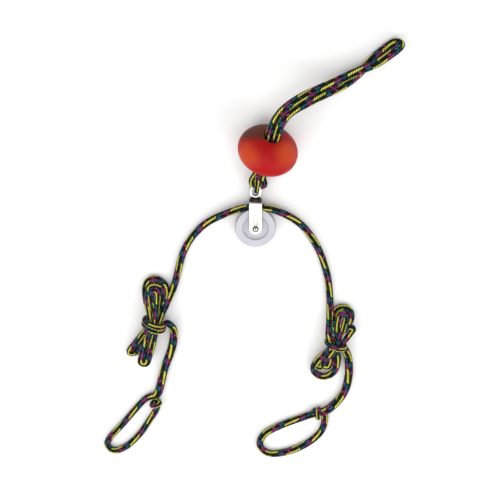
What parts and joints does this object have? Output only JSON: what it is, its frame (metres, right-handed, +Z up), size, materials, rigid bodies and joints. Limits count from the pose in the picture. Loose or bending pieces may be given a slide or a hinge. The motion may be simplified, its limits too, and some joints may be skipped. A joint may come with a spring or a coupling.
{
  "type": "shoulder pulley",
  "caption": "Over-the-door exercise pulley: swivel block with a nylon sheave, door ball on a doubled braided cord, and a braided rope with two tied hanks and hand loops.",
  "frame": {"origin": "bottom centre of the block and door ball together, on the table that the part lies on", "axes": "+Z up from the table and along the sheave's axle; +Y from the sheave to the door ball; +X to the right, seen from above with the ball away from the viewer"},
  "size_m": [0.2575, 0.3933, 0.0475],
  "materials": {
    "braided_rope": "diamond braid in black, dark green, yellow, magenta and teal",
    "red_lacquer": "satin red lacquer",
    "white_nylon": "moulded, slightly translucent",
    "nickel_strap": "bright nickel plate",
    "nickel_rivet": "bright nickel plate",
    "nickel_eye": "bright nickel plate",
    "nickel_washer": "nickel plate",
    "steel_sleeve": "turned"
  },
  "bodies": {
    "block": {"strap": "nickel_strap", "axle_rivet": "nickel_rivet", "axle_sleeve": "steel_sleeve", "side_washer_front": "nickel_washer", "side_washer_rear": "nickel_washer", "rope_arch_left": "braided_rope", "rope_arch_right": "braided_rope", "rope_hank_left": "braided_rope", "rope_hank_right": "braided_rope", "rope_wrap_left": "braided_rope", "rope_wrap_right": "braided_rope", "rope_standing_left": "braided_rope", "rope_standing_right": "braided_rope", "hand_loop_left": "braided_rope", "hand_loop_right": "braided_rope", "loop_knot_left": "braided_rope", "loop_knot_right": "braided_rope"},
    "sheave": {"sheave": "white_nylon"},
    "swivel": {"swivel_eye": "nickel_eye", "swivel_washer": "nickel_washer", "peen_washer": "nickel_washer", "anchor_hitch": "braided_rope", "anchor_cord": "braided_rope"},
    "ball": {"door_ball": "red_lacquer"}
  },
  "joints": [
    {"name": "sheave_spin", "type": "hinge", "parent": "block", "child": "sheave", "pos_m": [-0.00865, -0.03746, 0.0077], "axis": [0, 0, 1], "continuous": true},
    {"name": "swivel", "type": "hinge", "parent": "block", "child": "swivel", "pos_m": [-0.00865, -0.01446, 0.0077], "axis": [0, 1, 0], "continuous": true},
    {"name": "ball_slide", "type": "slide", "parent": "swivel", "child": "ball", "axis": [0.2269, 0.8774, 0.4226], "range_m": [-0.013, 0.008]}
  ]
}
